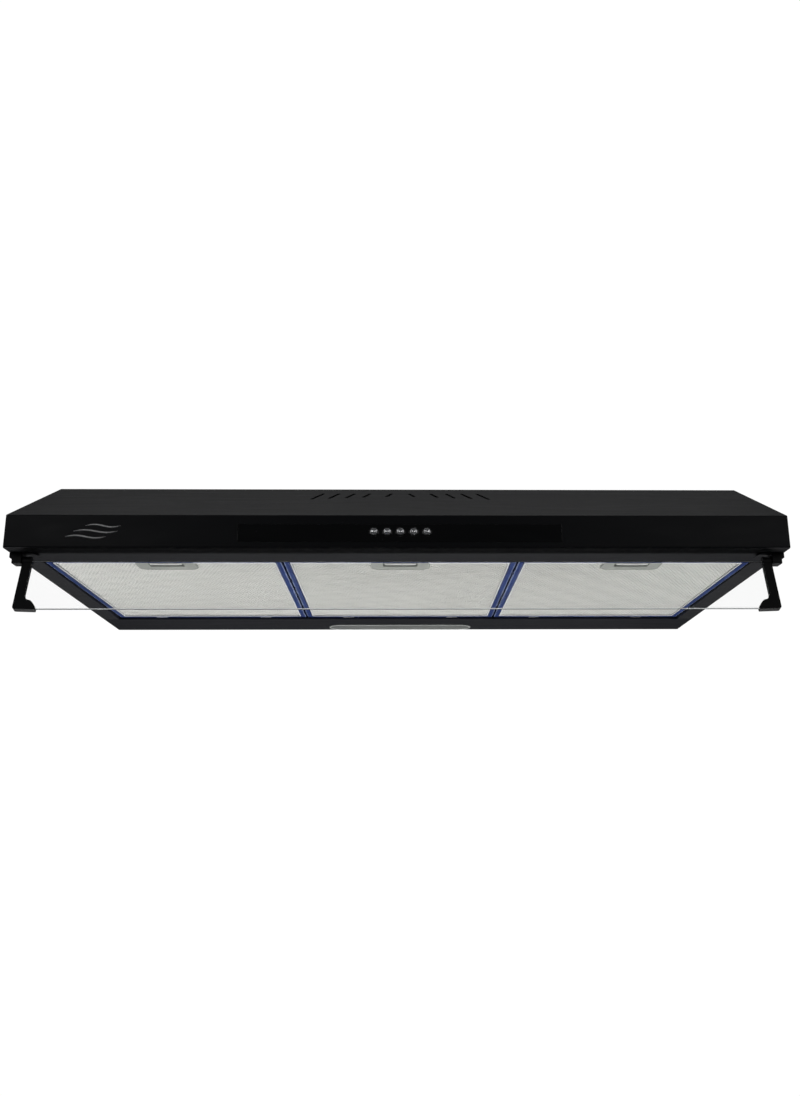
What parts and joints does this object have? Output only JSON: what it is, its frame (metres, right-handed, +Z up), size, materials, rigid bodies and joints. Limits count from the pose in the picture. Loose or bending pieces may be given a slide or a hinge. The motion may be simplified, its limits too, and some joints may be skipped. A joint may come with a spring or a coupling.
{
  "type": "under cabinet range hood",
  "caption": "Slim under cabinet cooker hood with sloping vented front, push button strip, swing-out clear visor, tilting mesh grease filters, strip lamp, blower and round top duct collar.",
  "frame": {"origin": "duct collar's axis on the outer face of the top", "axes": "+X right along the hood, +Y back to the wall, +Z up along the duct"},
  "size_m": [0.9, 0.504, 0.2272],
  "materials": {
    "casing_paint": "matt black powder coat on sheet steel",
    "rail_paint": "satin dark grey powder coat",
    "gloss_strip": "glossy black strip",
    "white_plastic": "matt off-white",
    "button_chrome": "silver plated button",
    "clear_sheet": "clear sheet with polished edges",
    "black_plastic": "matt black moulding",
    "bright_steel": "zinc plated",
    "film_covered_aluminium": "aluminium under blue protective film",
    "aluminium_mesh": "expanded aluminium mesh",
    "latch_grey": "satin grey moulding",
    "lamp_lens": "frosted lens",
    "reflector_aluminium": "semi-bright sheet",
    "bulb_glass": "opal glass with a metal cap",
    "scroll_plastic": "dark grey moulding",
    "impeller_plastic": "light grey moulding",
    "motor_metal": "motor in a plated can",
    "damper_aluminium": "thin rolled sheet",
    "loom_rubber": "black sleeved wires"
  },
  "bodies": {
    "casing": {"canopy_wrap": "casing_paint", "end_panel_left": "casing_paint", "end_panel_right": "casing_paint", "front_rail": "rail_paint", "side_rail_left": "rail_paint", "side_rail_right": "rail_paint", "lamp_panel": "casing_paint", "control_strip": "gloss_strip", "switch_bank": "white_plastic", "hinge_block_left": "black_plastic", "hinge_block_right": "black_plastic", "hinge_pin_left": "bright_steel", "hinge_pin_right": "bright_steel", "lamp_cover": "lamp_lens", "lamp_reflector": "reflector_aluminium", "lamp_holder_left": "white_plastic", "lamp_holder_right": "white_plastic", "lamp_bulb_left": "bulb_glass", "lamp_bulb_right": "bulb_glass", "scroll_housing": "scroll_plastic", "scroll_lid": "scroll_plastic", "inlet_guard": "black_plastic", "motor_body": "motor_metal", "blower_screws": "bright_steel", "blower_standoffs": "bright_steel", "outlet_box": "scroll_plastic", "capacitor": "white_plastic", "duct_collar": "black_plastic", "damper_pin": "bright_steel", "terminal_box": "black_plastic", "terminal_lid": "black_plastic", "cable_gland": "black_plastic", "wiring_loom": "loom_rubber"},
    "visor": {"visor_sheet": "clear_sheet", "visor_arm_left": "black_plastic", "visor_arm_right": "black_plastic"},
    "push_button_1": {"button_1": "button_chrome"},
    "push_button_2": {"button_2": "button_chrome"},
    "push_button_3": {"button_3": "button_chrome"},
    "push_button_4": {"button_4": "button_chrome"},
    "push_button_5": {"button_5": "button_chrome"},
    "filter_left": {"filter_frame_left": "film_covered_aluminium", "filter_mesh_left": "aluminium_mesh", "latch_plate_left": "latch_grey"},
    "filter_centre": {"filter_frame_centre": "film_covered_aluminium", "filter_mesh_centre": "aluminium_mesh", "latch_plate_centre": "latch_grey"},
    "filter_right": {"filter_frame_right": "film_covered_aluminium", "filter_mesh_right": "aluminium_mesh", "latch_plate_right": "latch_grey"},
    "latch_left": {"latch_slide_left": "latch_grey", "latch_tongue_left": "latch_grey"},
    "latch_centre": {"latch_slide_centre": "latch_grey", "latch_tongue_centre": "latch_grey"},
    "latch_right": {"latch_slide_right": "latch_grey", "latch_tongue_right": "latch_grey"},
    "fan": {"impeller": "impeller_plastic", "motor_shaft": "bright_steel"},
    "flap_left": {"damper_flap_left": "damper_aluminium"},
    "flap_right": {"damper_flap_right": "damper_aluminium"}
  },
  "joints": [
    {"name": "visor_swing", "type": "hinge", "parent": "casing", "child": "visor", "pos_m": [0, -0.308, -0.137], "axis": [-1, 0, 0], "range_deg": [-105, 28]},
    {"name": "button_1_press", "type": "slide", "parent": "casing", "child": "push_button_1", "axis": [0, 1, 0], "range_m": [0, 0.0028], "stiffness_N_per_m": 400, "springref_m": -0.003},
    {"name": "button_2_press", "type": "slide", "parent": "casing", "child": "push_button_2", "axis": [0, 1, 0], "range_m": [0, 0.0028], "stiffness_N_per_m": 400, "springref_m": -0.003},
    {"name": "button_3_press", "type": "slide", "parent": "casing", "child": "push_button_3", "axis": [0, 1, 0], "range_m": [0, 0.0028], "stiffness_N_per_m": 400, "springref_m": -0.003},
    {"name": "button_4_press", "type": "slide", "parent": "casing", "child": "push_button_4", "axis": [0, 1, 0], "range_m": [0, 0.0028], "stiffness_N_per_m": 400, "springref_m": -0.003},
    {"name": "button_5_press", "type": "slide", "parent": "casing", "child": "push_button_5", "axis": [0, 1, 0], "range_m": [0, 0.0028], "stiffness_N_per_m": 400, "springref_m": -0.003},
    {"name": "filter_left_tilt", "type": "hinge", "parent": "casing", "child": "filter_left", "pos_m": [0, 0.078, -0.125], "axis": [1, 0, 0], "range_deg": [0, 60], "deforming": ["latch_tongue_left"]},
    {"name": "filter_centre_tilt", "type": "hinge", "parent": "casing", "child": "filter_centre", "pos_m": [0, 0.078, -0.125], "axis": [1, 0, 0], "range_deg": [0, 60], "deforming": ["latch_tongue_centre"]},
    {"name": "filter_right_tilt", "type": "hinge", "parent": "casing", "child": "filter_right", "pos_m": [0, 0.078, -0.125], "axis": [1, 0, 0], "range_deg": [0, 60], "deforming": ["latch_tongue_right"]},
    {"name": "latch_left_slide", "type": "slide", "parent": "filter_left", "child": "latch_left", "axis": [0, 1, 0], "range_m": [0, 0.006], "stiffness_N_per_m": 200, "springref_m": -0.004},
    {"name": "latch_centre_slide", "type": "slide", "parent": "filter_centre", "child": "latch_centre", "axis": [0, 1, 0], "range_m": [0, 0.006], "stiffness_N_per_m": 200, "springref_m": -0.004},
    {"name": "latch_right_slide", "type": "slide", "parent": "filter_right", "child": "latch_right", "axis": [0, 1, 0], "range_m": [0, 0.006], "stiffness_N_per_m": 200, "springref_m": -0.004},
    {"name": "fan_spin", "type": "hinge", "parent": "casing", "child": "fan", "pos_m": [-0.155, -0.03, -0.05], "axis": [0, 0, 1], "continuous": true},
    {"name": "flap_left_swing", "type": "hinge", "parent": "casing", "child": "flap_left", "pos_m": [0, 0, 0.009], "axis": [0, 1, 0], "range_deg": [0, 78]},
    {"name": "flap_right_swing", "type": "hinge", "parent": "casing", "child": "flap_right", "pos_m": [0, 0, 0.009], "axis": [0, -1, 0], "range_deg": [0, 78]}
  ]
}
